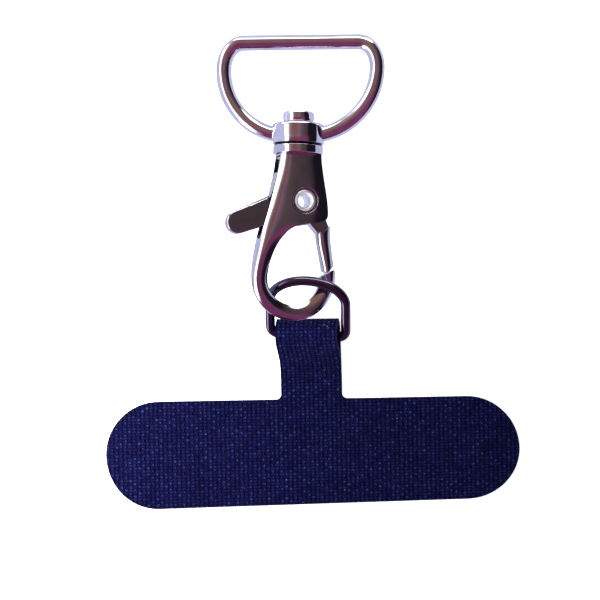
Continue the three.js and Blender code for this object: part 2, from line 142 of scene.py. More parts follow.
class SwivelSettings(PropertyGroup):
    wire: length("Wire", "Diameter of the strap loop's wire", 2.35)
    half_width: length("Half width", "Swivel's axis to the wire's centre", 12.06)
    bar_half: length("Bar", "Straight half of the strap bar", 9.1)
    shoulder: length("Shoulder", "Widest point to the bar", 4.05)
    rise: length("Rise", "Collar's middle to the bar", 14.25)
    sweep: length("Sides", "Radius of the side arcs", 10.4)
    turn: angle("Turn", "Turn on the post that lets its left side touch the surface", -27.835)
    collar_radius: length("Collar radius", "Radius of the collar", 4.05)
    collar_foot: length("Collar foot", "Pivot's level to the collar", 8.85)
    collar_height: length("Collar height", "Collar along the axis", 3.1)
    metal: colour("Chrome", "the bright chrome", (0.80, 0.76, 0.83))
    # Colour of a near-black disc that paints the shadow in the gap under the collar
    gap_shade_disc: colour("Painted_shade", "the oiled shim under the collar", (0.03, 0.026, 0.036))


class StageSettings(PropertyGroup):
    camera_distance: length("Distance", "Camera above the surface", 260)
    camera_across: length("Across", "Camera beside the tether's middle", -1.0)
    camera_along: length("Along", "Camera along the tether", 2.97)
    tilt_across: angle("Tilt", "Camera's tilt about the X axis", -1.675)
    tilt_along: angle("Lean", "Camera's tilt about the Y axis", 0.09)
    roll: angle("Roll", "Camera's turn on its own axis", -1.093)
    lens: number("Lens", "Focal length in millimetres", 99.23)
    floor: colour("Floor", "the plain floor", (0.92, 0.92, 0.94))
    mirrored: colour("Mirrored floor", "the floor as the metal mirrors it", (0.62, 0.68, 0.93))
    glow: number("Glow", "Strength of the plain light all round", 0.22)
    floor_glow: number("Floor glow", "Strength of the floor's own light", 0.9)


# Shapes

def clasp_frame():
    """x across the housing, y along the swivel's axis, z out of the front, origin level with the pivot."""
    along = Vector(JOINTS["swivel"]["axis"]).normalized()
    outwards = -Vector(JOINTS["trigger_press"]["axis"]).normalized()
    outwards = (outwards - along * outwards.dot(along)).normalized()
    pivot, on_axis = Vector(JOINTS["trigger_press"]["pos_m"]), Vector(JOINTS["swivel"]["pos_m"])
    matrix = Matrix((along.cross(outwards), along, outwards)).transposed().to_4x4()
    matrix.translation = on_axis + along * (pivot - on_axis).dot(along)
    return matrix


def loop_frame(turn):
    """The clasp's frame, turned on the swivel's axis."""
    return clasp_frame() @ Matrix.Rotation(turn, 4, "Y")


def arc(centre, radius, start, end, steps, rise=None):
    """Points on an arc, or on an ellipse where rise is given. Angles in degrees."""
    points = []
    for i in range(steps + 1):
        turn = math.radians(start + (end - start) * i / steps)
        across, up = radius * math.cos(turn), (rise or radius) * math.sin(turn)
        points.append(Vector((centre[0] + across, centre[1] + up, 0)))
    return points


def soften(corners):
    """A line through (x, y, radius) corners, each with a radius rounded off."""
    line = []
    for i, (x, y, radius) in enumerate(corners):
        here = Vector((x, y, 0))
        if not radius:
            line.append(here)
            continue
        before = Vector((*corners[i - 1][:2], 0)) - here
        after = Vector((*corners[(i + 1) % len(corners)][:2], 0)) - here
        start, end = here + before.normalized() * radius, here + after.normalized() * radius
        for t in (k / 5 for k in range(6)):
            line.append(start * (1 - t) ** 2 + here * 2 * t * (1 - t) + end * t * t)
    return line


def clean(line):
    """The same line without points that lie on each other."""
    kept = []
    for point in line:
        if not kept or (point - kept[-1]).length > NEAR:
            kept.append(point)
    if (kept[0] - kept[-1]).length <= NEAR:
        kept.pop()
    return kept


def grown(result, kind=bmesh.types.BMVert):
    """The new verts, or faces, of an extrusion."""
    return [g for g in result["geom"] if isinstance(g, kind)]


def sweep_wire(bm, line, radius, sides, closed):
    """A round wire: one circle, extruded from station to station along a flat line."""
    frames = []
    for i, point in enumerate(line):
        before = line[i - 1] if closed or i else point
        after = line[(i + 1) % len(line)] if closed or i + 1 < len(line) else point
        tangent = (after - before).normalized()
        station = Matrix((UP.cross(tangent), UP, tangent)).transposed().to_4x4()
        station.translation = point
        frames.append(station)
    if closed:
        frames.append(frames[0])
    circle = bmesh.ops.create_circle(bm, segments=sides, radius=radius, matrix=frames[0])["verts"]
    edges = list({e for v in circle for e in v.link_edges})
    for before, here in zip(frames, frames[1:]):
        verts = grown(bmesh.ops.extrude_edge_only(bm, edges=edges))
        bmesh.ops.transform(bm, matrix=here @ before.inverted(), verts=verts)
        ring = set(verts)
        edges = list({e for v in verts for e in v.link_edges if e.other_vert(v) in ring})
    if closed:
        bmesh.ops.remove_doubles(bm, verts=bm.verts, dist=TINY)
    else:
        open_edges = [e for e in bm.edges if len(e.link_faces) == 1]
        bmesh.ops.holes_fill(bm, edges=open_edges, sides=0)


def turn_profile(bm, profile, steps, axis=ALONG, centre=(0, 0, 0)):
    """A turned piece. The profile's points are (radius, height) on the axis."""
    axis = Vector(axis)
    out = Vector((1, 0, 0))
    verts = [bm.verts.new(Vector(centre) + out * p.x + axis * p.y) for p in profile]
    edges = [bm.edges.new(pair) for pair in zip(verts, verts[1:])]
    if profile[0].x > 0 and profile[-1].x > 0:
        edges.append(bm.edges.new((verts[-1], verts[0])))
    bmesh.ops.spin(
        bm, geom=verts + edges, cent=centre, axis=axis, angle=math.tau, steps=steps, use_merge=True
    )
    bmesh.ops.remove_doubles(bm, verts=bm.verts, dist=TINY)


def cut_plate(bm, outline, depth, bore):
    """A flat outline with a round bore, and a wall on both sides of z = 0."""
    edges = []
    for line in (outline, bore):
        verts = [bm.verts.new((p.x, p.y, -depth / 2)) for p in line]
        edges += [bm.edges.new(pair) for pair in zip(verts, verts[1:] + verts[:1])]
    bmesh.ops.triangle_fill(bm, edges=edges, use_beauty=True, use_dissolve=True)
    upper = bmesh.ops.extrude_face_region(bm, geom=bm.faces[:], use_keep_orig=True)
    bmesh.ops.translate(bm, verts=grown(upper), vec=UP * depth)


def grow_rows(bm, rows):
    """A flat sheet of faces: each row of points is the last row's edges, extruded."""
    verts = [bm.verts.new(p) for p in rows[0]]
    for pair in zip(verts, verts[1:]):
        bm.edges.new(pair)
    for row in rows[1:]:
        verts = verts[:len(row)]
        edges = [bm.edges.get(pair) for pair in zip(verts, verts[1:])]
        fresh = set(grown(bmesh.ops.extrude_edge_only(bm, edges=edges)))
        verts = [next(e.other_vert(v) for e in v.link_edges if e.other_vert(v) in fresh)
                 for v in verts]
        for vert, place in zip(verts, row):
            vert.co = place


def add_modifier(piece, kind, **values):
    modifier = piece.modifiers.new(kind.title(), kind)
    for name, value in values.items():
        setattr(modifier, name, value)


def add_object(name, data):
    thing = bpy.data.objects.new(name, data)
    bpy.context.scene.collection.objects.link(thing)
    return thing


def add_mesh(bm, name, look):
    mesh = bpy.data.meshes.new(name)
    bm.to_mesh(mesh)
    bm.free()
    mesh.materials.append(look)
    return add_object(name, mesh)


def finish_piece(bm, name, matrix, body, look, node=None, sharp=None):
    """Writes a bmesh that was drawn in its own frame as a piece of the object."""
    bmesh.ops.recalc_face_normals(bm, faces=bm.faces)
    bm.transform(matrix)
    piece = add_mesh(bm, name, look)
    piece.data.shade_smooth()
    if sharp:
        piece.data.set_sharp_from_angle(angle=math.radians(sharp))
    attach(piece, body)
    if node:
        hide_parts(node)
    return piece


def build_turned(name, corners, steps, look, body="clasp", node=None, turn=0):
    """A piece turned on the swivel's axis, from (radius, height, rounding) corners in millimetres."""
    bm = bmesh.new()
    turn_profile(bm, [p * MM for p in soften(corners)], steps)
    finish_piece(bm, name, loop_frame(turn), body, look, node, METAL_SHARP)


def smoothing_pull(degrees):
    """How far out a ring's points go, degrees apart, for the smoothed surface to keep its radius."""
    return 3 / (2 + math.cos(math.radians(degrees)))


# Materials

class NodeMaker:
    """Adds and links nodes in one tree."""

    def __init__(self, tree):
        self.tree = tree

    def add(self, kind, inputs=None, **values):
        node = self.tree.nodes.new("ShaderNode" + kind)
        for name, value in values.items():
            setattr(node, name, value)
        self.fill(node, inputs or {})
        return node

    def fill(self, node, inputs):
        for key, value in inputs.items():
            self.feed(node.inputs[key], value)

    def feed(self, socket, value):
        if isinstance(value, bpy.types.NodeSocket):
            self.tree.links.new(value, socket)
        else:
            socket.default_value = value

    def math(self, operation, *values):
        inputs = dict(enumerate(values))
        return self.add("Math", inputs, operation=operation).outputs[0]

    def times(self, first, *others):
        for value in others:
            first = self.math("MULTIPLY", first, value)
        return first

    def mix(self, factor, a, b, blend="MIX"):
        inputs = {"Factor": factor, "A": a, "B": b}
        node = self.add("Mix", inputs, data_type="RGBA", blend_type=blend)
        return node.outputs["Result"]

    def bump(self, height, strength, distance):
        inputs = {"Strength": strength, "Distance": distance, "Height": height}
        return self.add("Bump", inputs).outputs["Normal"]

    def noise(self, vector, scale, detail=2.0, roughness=0.5):
        inputs = {"Vector": vector, "Scale": scale, "Detail": detail, "Roughness": roughness}
        return self.add("TexNoise", inputs).outputs["Fac"]

    def spread(self, value, low, high, to_low=0.0, to_high=1.0):
        inputs = {"Value": value, "From Min": low, "From Max": high, "To Min": to_low, "To Max": to_high}
        return self.add("MapRange", inputs).outputs["Result"]

    def band(self, value, start, full, fade, gone):
        """A mask that rises from start to full and falls from fade to gone."""
        return self.times(self.spread(value, start, full), self.spread(value, gone, fade))


def rgba(value):
    return (*value, 1.0)


def new_group(name, values, outputs):
    """A node group that takes a vector and values, and puts out values."""
    group = bpy.data.node_groups.new(name, "ShaderNodeTree")
    sockets = group.interface
    sockets.new_socket("Vector", in_out="INPUT", socket_type="NodeSocketVector")
    for label, value in values.items():
        socket = sockets.new_socket(label, in_out="INPUT", socket_type="NodeSocketFloat")
        socket.default_value = value
    for label in outputs:
        sockets.new_socket(label, in_out="OUTPUT", socket_type="NodeSocketFloat")
    given, out = (group.nodes.new("NodeGroup" + end) for end in ("Input", "Output"))
    return group, NodeMaker(group), given.outputs, out.inputs


# A thread's roundness across and along itself, upright and lying, and the height of the lying ones
UPRIGHT_THREAD, LYING_THREAD, LYING_HEIGHT = (1.3, 0.28), (0.3, 0.9), 0.86
WIPE_HEIGHT, PIT_HEIGHT = 0.06, 0.07  # shares of the casting waves' height


def plain_weave_group():
    """Threads over and under each other: their height, which one is on top, and a tone for each."""
    group, make, given, out = new_group(
        "plain_weave", {"Across": 1000.0, "Along": 1000.0, "Wobble": 0.85}, ["Height", "Over", "Thread"]
    )
    bend = make.add("TexNoise", {"Vector": given["Vector"], "Scale": 230.0, "Detail": 2.0})
    centred = {0: bend.outputs["Color"], 1: (0.5, 0.5, 0.5)}
    shift = make.add("VectorMath", centred, operation="SUBTRACT")
    flat = make.add("SeparateXYZ", {"Vector": given["Vector"]}).outputs
    push = make.add("SeparateXYZ", {"Vector": shift.outputs[0]}).outputs
    counts = [
        make.math("ADD", make.times(flat[i], given[name]), make.times(push[i], given["Wobble"]))
        for i, name in enumerate(("Across", "Along"))
    ]
    cells = [make.math("FLOOR", count) for count in counts]
    bumps = [make.math("SINE", make.times(make.math("FRACT", count), math.pi)) for count in counts]
    upright, lying = (
        make.times(*(make.math("POWER", bump, power) for bump, power in zip(bumps, powers)))
        for powers in (UPRIGHT_THREAD, LYING_THREAD)
    )
    over = make.math("FLOORED_MODULO", make.math("ADD", *cells), 2.0)
    threads = {0: over, 2: make.times(lying, LYING_HEIGHT), 3: upright}
    cell = make.add("CombineXYZ", dict(enumerate(cells)))
    tone = make.add("TexWhiteNoise", {"Vector": cell.outputs[0]}, noise_dimensions="3D")
    make.feed(out["Height"], make.add("Mix", threads, data_type="FLOAT").outputs[0])
    make.feed(out["Over"], over)
    make.feed(out["Thread"], tone.outputs["Value"])
    return group


def plated_metal_group():
    """Soft casting waves, fine wipe marks and dull patches of plated metal."""
    group, make, given, out = new_group(
        "plated_metal", {"Smooth": 0.06, "Dull": 0.2}, ["Height", "Roughness", "Tarnish"]
    )
    waves = make.noise(given["Vector"], scale=260.0, detail=1.0)
    stretch = make.add("Mapping", {"Vector": given["Vector"], "Rotation": (0.3, 0.2, 0.5),
                                             "Scale": (1.0, 0.12, 1.0)})
    wipes = make.noise(stretch.outputs[0], scale=5200.0, roughness=0.6)
    pits = make.noise(given["Vector"], scale=2600.0, detail=3.0, roughness=0.7)
    height = make.math("ADD", waves, make.times(wipes, WIPE_HEIGHT))
    height = make.math("ADD", height, make.times(pits, PIT_HEIGHT))
    patches = make.noise(given["Vector"], scale=420.0, detail=4.0, roughness=0.6)
    patches = make.spread(patches, 0.45, 0.75)
    dull = make.times(patches, make.spread(pits, 0.35, 0.75))
    levels = {0: dull, 2: given["Smooth"], 3: given["Dull"]}
    make.feed(out["Height"], height)
    make.feed(out["Roughness"], make.add("Mix", levels, data_type="FLOAT").outputs[0])
    make.feed(out["Tarnish"], patches)
    return group


def shared_group(name, build):
    return bpy.data.node_groups.get(name) or build()


def start_material(name):
    look = bpy.data.materials.new(name)
    look.use_nodes = True
    look.node_tree.nodes.clear()
    make = NodeMaker(look.node_tree)
    shader = make.add("BsdfPrincipled")
    output = make.add("OutputMaterial")
    make.feed(output.inputs["Surface"], shader.outputs["BSDF"])
    return look, make, shader


TARNISH = 0.82  # share of its brightness that metal keeps in its patches
WAVE_HEIGHT, WEAVE_HEIGHT = 0.02 * MM, 0.22 * MM
FIBRE_HEIGHT = 0.25  # share of the weave's height


def plated_metal(name, metal, smooth, dull, metallic=1.0):
    """Plated metal: mirror bright, a little darker and duller in patches."""
    look, make, shader = start_material(name)
    place = make.add("TexCoord").outputs["Object"]
    group = shared_group("plated_metal", plated_metal_group)
    inputs = {"Vector": place, "Smooth": smooth, "Dull": dull}
    wear = make.add("Group", inputs, node_tree=group).outputs
    base = make.mix(wear["Tarnish"], rgba(metal), rgba(c * TARNISH for c in metal))
    make.fill(shader, {"Base Color": base, "Roughness": wear["Roughness"], "Metallic": metallic,
                       "Normal": make.bump(wear["Height"], 0.35, WAVE_HEIGHT)})
    return look


def woven_navy(settings):
    """Navy plain weave: painted shade between uneven threads, a painted sheen on their fuzzy tops, with
    specks of lint.
    """
    look, make, shader = start_material("woven_navy")
    flat = make.add("UVMap", uv_map="flat_cut").outputs["UV"]
    group = shared_group("plain_weave", plain_weave_group)
    inputs = {"Vector": flat, "Across": FLAT_UNIT / settings.thread_across,
              "Along": FLAT_UNIT / settings.thread_along}
    weave = make.add("Group", inputs, node_tree=group).outputs
    # Painted shade: the weave darkens towards the gaps' navy where the threads lie low
    shade = make.spread(weave["Height"], 0.15, 0.75)
    threads = make.mix(shade, rgba(settings.weave_shade), rgba(settings.navy))

    # Painted highlight: the threads' crowns are mixed towards a lighter blue as if they caught the light,
    # more on upright threads and unevenly from thread to thread
    crown = make.math("POWER", make.spread(weave["Height"], 0.50, 1.0), 2.0)
    sheen_fuzz = make.noise(flat, scale=620.0, detail=3.0, roughness=0.6)
    sheen_fuzz = make.spread(sheen_fuzz, 0.35, 0.65, 0.3, 1.9)
    sheen_share = make.times(make.spread(weave["Thread"], 0.25, 1.0, 0.15, 1.0), sheen_fuzz)
    kind = make.spread(weave["Over"], 0.0, 1.0, 0.35, 0.62)
    threads = make.mix(make.times(crown, sheen_share, kind), threads, rgba(settings.thread_sheen))

    tone = make.spread(weave["Thread"], 0.0, 1.0, 0.80, 1.20)
    patch = make.spread(make.noise(flat, scale=26.0, detail=3.0), 0.3, 0.7, 0.86, 1.14)
    level = make.add("CombineColor", dict.fromkeys(range(3), make.times(tone, patch)))
    threads = make.mix(1.0, threads, level.outputs[0], "MULTIPLY")

    specks = make.add("TexVoronoi", {"Vector": flat, "Scale": 120.0}, feature="F1").outputs
    chosen = make.add("SeparateColor", {0: specks["Color"]}).outputs
    near = make.spread(specks["Distance"], 0.05, 0.12, 1.0, 0.0)
    few = make.math("GREATER_THAN", chosen[0], 0.90)
    lint = make.times(near, few, make.spread(chosen[1], 0, 1, 0.1, 0.8))
    base = make.mix(lint, threads, rgba(settings.lint))

    fibre = make.noise(flat, scale=2400.0, roughness=0.7)
    height = make.math("ADD", weave["Height"], make.times(fibre, FIBRE_HEIGHT))
    make.fill(shader, {
        "Base Color": base, "Roughness": make.spread(shade, 0, 1, 0.95, 0.72),
        "Normal": make.bump(height, 0.9, WEAVE_HEIGHT), "Specular IOR Level": 0.03,
        "Sheen Weight": 0.01, "Sheen Roughness": 0.45, "Sheen Tint": (0.35, 0.4, 0.9, 1),
    })
    return look


# Cloth tab

CLOTH_MIDDLE = 0.5 * MM  # height of the cloth's middle where it lies flat
RISE_END = 0.7 * MM  # how far before the bar the neck has risen to the fold
CLIMB, CLIMB_LENGTH = 1.0 * MM, 5.0 * MM  # off the surface, onto the tail
SWELL, SWELL_LENGTH = 2.5 * MM, 4.2 * MM  # up to the fold
RIPPLE, RIPPLE_RATE = 0.06 * MM, 210
NECK_STEP = 0.42 * MM
TAIL_END, LEAST_LIFT = 5.0 * MM, 0.06


def ease(share):
    t = min(max(share, 0), 1)
    return t * t * (3 - 2 * t)


def neck_line(cloth):
    """The neck's side view from the pad to the end of the tail: (y, height) of the cloth's middle."""
    bar, fold, tail = cloth.bar_reach, cloth.fold_radius, cloth.tail_start
    flat = bar - RISE_END
    line = []
    for i in range(41):
        y = tail + (flat - tail) * i / 40
        climb = CLIMB * ease((y - tail) / CLIMB_LENGTH)
        swell = SWELL * ease((y - flat + SWELL_LENGTH) / SWELL_LENGTH)
        line.append(Vector((y, CLOTH_MIDDLE + climb + swell)))
    line += [p.xy for p in arc((bar, fold + CLOTH_MIDDLE), fold, 90, -90, 24)]
    line.append(Vector((tail + 0.3 * MM, CLOTH_MIDDLE)))
    return line


def on_line(line, distance):
    """The point at a distance along a line, and the direction across it."""
    for start, end in zip(line, line[1:]):
        step = (end - start).length
        if distance <= step:
            break
        distance -= step
    ahead = (end - start).normalized()
    return start + ahead * distance, Vector((-ahead.y, ahead.x))


def cut_outline(cloth, end):
    """The flat cut: a pad with round ends and a neck, anticlockwise."""
    half, side, fillet = cloth.pad_width / 2, cloth.neck_width / 2, cloth.neck_fillet
    straight = cloth.pad_length / 2 - half
    outline = arc((straight, 0), half, -90, 90, 36)
    outline += arc((side + fillet, half + fillet), fillet, -90, -180, 6)
    outline += [Vector((side, end, 0)), Vector((-side, end, 0))]
    outline += arc((-side - fillet, half + fillet), fillet, 0, -90, 6)
    outline += arc((-straight, 0), half, 90, 270, 36)
    return clean(outline)


def slice_sheet(bm, axis, places):
    for place in places:
        everything = bm.verts[:] + bm.edges[:] + bm.faces[:]
        bmesh.ops.bisect_plane(bm, geom=everything, dist=TINY, plane_co=axis * place, plane_no=axis)


def fold_point(cloth, line, flat, lift):
    """Where a point of the flat cut lies in the finished tab, lift above the cloth's middle."""
    x, t = flat
    if t <= cloth.tail_start:
        ripple = RIPPLE * math.sin(x * RIPPLE_RATE + 0.7) * ease((abs(x) - 6 * MM) / (12 * MM))
        wider = 1 - cloth.slant * x if t < 0 else 1
        return Vector((x, t * wider, max(CLOTH_MIDDLE + lift + ripple, 0.01 * MM)))
    middle, across = on_line(line, t - cloth.tail_start)
    place = middle + across * lift
    return twisted(cloth, Vector((x, place.x, place.y)))


def twisted(cloth, point):
    """The same point with the neck's twist, about its left edge."""
    rise = cloth.bar_reach - RISE_END - cloth.tail_start
    turn = cloth.twist * ease((point.y - cloth.tail_start) / rise)
    hinge = Vector((-cloth.neck_width / 2, 0, 0))
    return Matrix.Rotation(-turn, 3, "Y") @ (point - hinge) + hinge


def build_cloth(cloth):
    line = neck_line(cloth)
    end = cloth.tail_start + sum((b - a).length for a, b in zip(line, line[1:]))
    bm = bmesh.new()
    bm.faces.new([bm.verts.new(p) for p in cut_outline(cloth, end)])
    slice_sheet(bm, Vector((1, 0, 0)), [x * MM for x in range(-32, 33)])
    slice_sheet(bm, ALONG, [y * MM for y in range(-8, 11)])
    steps = int((end - cloth.tail_start) / NECK_STEP)
    slice_sheet(bm, ALONG, [cloth.tail_start + i * NECK_STEP for i in range(steps)])
    cells = bm.loops.layers.uv.new("flat_cut")
    for face in bm.faces:
        for loop in face.loops:
            loop[cells].uv = loop.vert.co.xy / FLAT_UNIT + Vector((0.5, 0.3))
    area = sum(f.calc_area() for f in bm.faces)
    outer = set(grown(bmesh.ops.extrude_face_region(bm, geom=bm.faces[:], use_keep_orig=True)))
    for vert in bm.verts:
        lift = cloth.wall / 2
        if vert not in outer:
            # At the tail's end the inner face drops onto the outer one, then parts from it again
            parting = ease((end - vert.co.y) / TAIL_END)
            lift = cloth.wall * max(parting, LEAST_LIFT) - lift if parting < 1 else -lift
        vert.co = fold_point(cloth, line, vert.co.xy, lift)
    pad_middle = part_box("cloth_tab")[0].y + cloth.pad_width / 2
    piece = finish_piece(
        bm, "cloth_tab_weave", Matrix.Translation((0, pad_middle, 0)), "tab", woven_navy(cloth),
        "cloth_tab", CLOTH_SHARP,
    )
    add_modifier(piece, "BEVEL", width=0.12 * MM, segments=2, limit_method="ANGLE",
                 angle_limit=math.radians(CLOTH_SHARP))


# Small ring

def ring_line(ring):
    half = (ring.inner_width + ring.wire) / 2
    top = ring.reach - ring.crown
    inset = half - ring.corner
    line = arc((inset, ring.corner), ring.corner, -90, 0, 6)
    line += arc((0, top), half, 0, 180, 48, ring.crown)
    line += arc((-inset, ring.corner), ring.corner, 180, 270, 6)
    line += [Vector((inset * (i - 4) / 4, 0, 0)) for i in range(1, 8)]
    return clean(line)


def build_ring(ring):
    bm = bmesh.new()
    sweep_wire(bm, ring_line(ring), ring.wire / 2, 24, True)
    matrix = Euler((ring.pitch, ring.roll, ring.yaw), "XYZ").to_matrix().to_4x4()
    matrix.translation = Vector(JOINTS["ring_swing"]["pos_m"])
    look = plated_metal("dark_nickel", ring.metal, 0.07, 0.16)
    finish_piece(bm, "small_ring", matrix, "clasp", look, "tab_ring")


# Clasp casting, as rows of (across, along) in millimetres: the outer edge, then the columns towards the
# right edge. The falls are how far the front lies under its full depth, column by column. On the bend
# the outer column has its own falls and the others have the hook's.
HOUSING_FALL = (1.28, 0.20, 0.04, 0, 0.08, 0.38)
LIMB_FALLS = [(1.28, 0.12, 0.35), (1.25, 0.06, 0.60), (1.20, 0, 0.75), (1.15, 0, 0.80)]
BEND_FALLS = [1.12, 1.10, 1.06, 1.00, 0.94, 0.86, 0.79]
HOOK_FALL = (0.72, 0, 0.85)
HOUSING = [
    [(-3.20, 7.6), (-2.30, 7.6), (-1.35, 7.6), (0.4, 7.6), (2.25, 7.6), (3.20, 7.6)],
    [(-3.20, 6.9), (-2.32, 6.7), (-1.40, 6.3), (0.45, 6.2), (2.35, 6.2), (3.22, 6.2)],
    [(-3.52, 4.1), (-2.62, 4.1), (-1.50, 4.1), (0.60, 4.1), (2.65, 4.1), (3.56, 4.1)],
    [(-4.05, 1.9), (-3.14, 2.0), (-1.50, 2.1), (0.67, 2.2), (2.85, 2.1), (3.98, 1.9)],
    [(-4.50, -0.1), (-3.57, 0.0), (-1.55, 0.0), (0.67, 0.0), (2.90, 0.0), (4.33, 0.0)],
    [(-5.08, -2.3), (-4.13, -2.2), (-1.60, -2.15), (0.67, -2.2), (2.85, -2.1), (4.48, -1.5)],
    [(-5.62, -4.2), (-4.66, -4.1), (-1.22, -4.05), (0.90, -3.62), (2.80, -3.35), (4.52, -2.9)],
]
LIMB = [
    [(-6.02, -5.8), (-5.06, -5.65), (-2.55, -5.45)],
    [(-6.36, -7.2), (-5.42, -7.1), (-3.42, -6.75)],
    [(-6.66, -8.7), (-5.73, -8.6), (-4.02, -8.35)],
    [(-6.86, -10.2), (-5.93, -10.15), (-4.42, -10.0)],
]
TIP = [(6.20, -9.95), (4.98, -11.05), (3.86, -11.5)]
BEND, BEND_STEP = (-0.35, -11.8), 15  # the bend's centre, and degrees from row to row
BEND_RADII = (6.6, 4.25)
BEND_CREST = 0.85  # how far the bend's crest lies inside the outer radius
TAPER = (-4.6, 9.4)  # where the casting starts to get thinner, and over what length
SLOT_TAPER, WEB = (-5.4, 2.6), 0.3 * MM  # the same for the slot, and where its walls end
SLOT_ENDS, SPINE = (-5.2, 6.5), (2.9, 1.3)  # the slot is closed right of and above the spine's corner
PIVOT_RINGS = [(2.12, 2.40), (2.00, 2.36), (1.95, 1.50), (1.75, 1.46), (1.68, 1.82), (1.50, 1.82)]
RIVET_BORE, PIVOT = 1.50, Vector((0.67, 0))
PIVOT_ROOM, HOUSING_TOP = 2.6, 7.3
BACK_SHARE, TIP_SHARE, MOUTH_SHARE = 0.12, 0.10, 0.8  # of the rounding
LEVEL, UPRIGHT = 0.5, 0.4  # how much a normal points up on a level face, and at most on a side


def casting_rows(depth_at):
    outer, inner = BEND_RADII
    pull = smoothing_pull(BEND_STEP)
    radii = (outer * pull, outer - BEND_CREST, inner * pull)
    turns = [math.radians(180 + BEND_STEP * i) for i in range(13)]
    bend = [[(BEND[0] + r * math.cos(t), BEND[1] + r * math.sin(t)) for r in radii] for t in turns]
    rows = [*HOUSING, *LIMB, *bend, TIP]
    falls = [HOUSING_FALL] * len(HOUSING) + LIMB_FALLS + [(fall, *HOOK_FALL[1:]) for fall in BEND_FALLS]
    falls += [HOOK_FALL] * (len(rows) - len(falls))
    return [[Vector((u, v, -fall)) * MM + UP * depth_at(v) / 2 for (u, v), fall in zip(row, drop)]
            for row, drop in zip(rows, falls)]


def in_slot(face):
    """Whether a face lies over the room for the trigger."""
    across, along = face.calc_center_median().xy / MM
    spine = across > SPINE[0] and along > SPINE[1]
    return SLOT_ENDS[0] < along < SLOT_ENDS[1] and not spine


def sink_pivot(bm, faces, centre, rings):
    """Rings round the pivot, each one inset and pulled to a circle, down to a bore."""
    pull = smoothing_pull(45)
    for radius, height in rings:
        bmesh.ops.inset_region(
            bm, faces=faces, thickness=0.05 * MM, use_boundary=True, use_even_offset=True
        )
        for vert in {v for f in faces for v in f.verts}:
            ray = Vector((vert.co.x, vert.co.y, 0)) - centre
            if ray.length > 0.4 * MM:
                vert.co = centre + ray.normalized() * radius * pull * MM
            vert.co.z = height * MM
    rim = [e for f in faces for e in f.edges if sum(g in faces for g in e.link_faces) == 1]
    bmesh.ops.delete(bm, geom=faces, context="FACES")
    return rim


def round_edges(bm, weigh):
    """Marks how much of the rounding each edge gets."""
    weights = bm.edges.layers.float.new("bevel_weight_edge")
    for edge in bm.edges:
        if len(edge.link_faces) == 2:
            edge[weights] = weigh(edge)


def casting_weight(edge):
    """Share of the rounding: none at flange and pivot, little at the slot and tip, else most."""
    side, face = sorted(edge.link_faces, key=lambda f: abs(f.normal.z))
    middle = (edge.verts[0].co + edge.verts[1].co) / 2 / MM
    if abs(face.normal.z) < LEVEL or abs(side.normal.z) > UPRIGHT or middle.y > HOUSING_TOP:
        return 0
    if (middle.xy - PIVOT).length < PIVOT_ROOM:
        return 0
    if face.normal.z * middle.z < 0:
        return BACK_SHARE
    if middle.x > 3.8 and middle.y < -9.9 and all(v.co.y / MM > -11.6 for v in edge.verts):
        return TIP_SHARE
    if middle.x > -1.3 and middle.y > -4.2:
        return MOUTH_SHARE
    return 1


def build_casting(clasp):
    def depth_at(along):
        share = ease((TAPER[0] - along) / TAPER[1])
        return clasp.housing_depth + (clasp.hook_depth - clasp.housing_depth) * share

    def inner_level(along):
        share = ease((SLOT_TAPER[0] - along) / SLOT_TAPER[1])
        return WEB + (clasp.slot_depth / 2 - WEB) * (1 - share)

    bm = bmesh.new()
    grow_rows(bm, casting_rows(depth_at))
    bm.faces.ensure_lookup_table()
    lower = bmesh.ops.extrude_face_region(bm, geom=bm.faces[:], use_keep_orig=True)
    for vert in grown(lower):
        vert.co.z = inner_level(vert.co.y / MM)
    through = [f for f in grown(lower, bmesh.types.BMFace) if not in_slot(f)]
    middle = bmesh.ops.extrude_face_region(bm, geom=through)
    for vert in grown(middle):
        vert.co.z = 0
    bmesh.ops.delete(bm, geom=grown(middle, bmesh.types.BMFace), context="FACES")
    centre = Vector((clasp.pivot_across, 0, 0))

    def round_pivot(level):
        return [f for f in bm.faces if all(abs(v.co.z - level) < 0.1 * MM for v in f.verts)
                and any((v.co.xy - centre.xy).length < 0.2 * MM for v in f.verts)]

    upper_rim = sink_pivot(bm, round_pivot(clasp.housing_depth / 2), centre, PIVOT_RINGS)
    bore = [(RIVET_BORE, clasp.slot_depth / 2 / MM)]
    lower_rim = sink_pivot(bm, round_pivot(clasp.slot_depth / 2), centre, bore)
    bmesh.ops.bridge_loops(bm, edges=upper_rim + lower_rim)
    everything = bm.verts[:] + bm.edges[:] + bm.faces[:]
    bmesh.ops.mirror(bm, geom=everything, matrix=Matrix(), merge_dist=1e-6, axis="Z")
    bmesh.ops.recalc_face_normals(bm, faces=bm.faces)
    round_edges(bm, casting_weight)
    creases = bm.edges.layers.float.new("crease_edge")
    for edge in bm.edges:
        reach = [(v.co.xy - centre.xy).length / MM for v in edge.verts]
        if abs(reach[0] - reach[1]) < 0.02 and 2.0 < reach[0] < 2.25:
            edge[creases] = 0.7
    look = plated_metal("clasp_chrome", clasp.metal, 0.07, 0.17)
    piece = finish_piece(bm, "clasp_casting", clasp_frame(), "clasp", look, "clasp_body")
    add_modifier(piece, "BEVEL", width=clasp.rounding, segments=2, limit_method="WEIGHT")
    add_modifier(piece, "SUBSURF", levels=2, render_levels=2)
    build_flange(look)


FLANGE_FOOT, FLANGE_TOP = 7.12, 8.5


def build_flange(look):
    profile = [(0, FLANGE_FOOT, 0), (3.2, FLANGE_FOOT, 0.05), (3.85, 7.25, 0.14),
               (3.85, FLANGE_TOP, 0.10), (1.72, FLANGE_TOP, 0.08), (1.72, 7.0, 0), (0, 7.0, 0)]
    build_turned("clasp_flange", profile, 64, look)


# Trigger

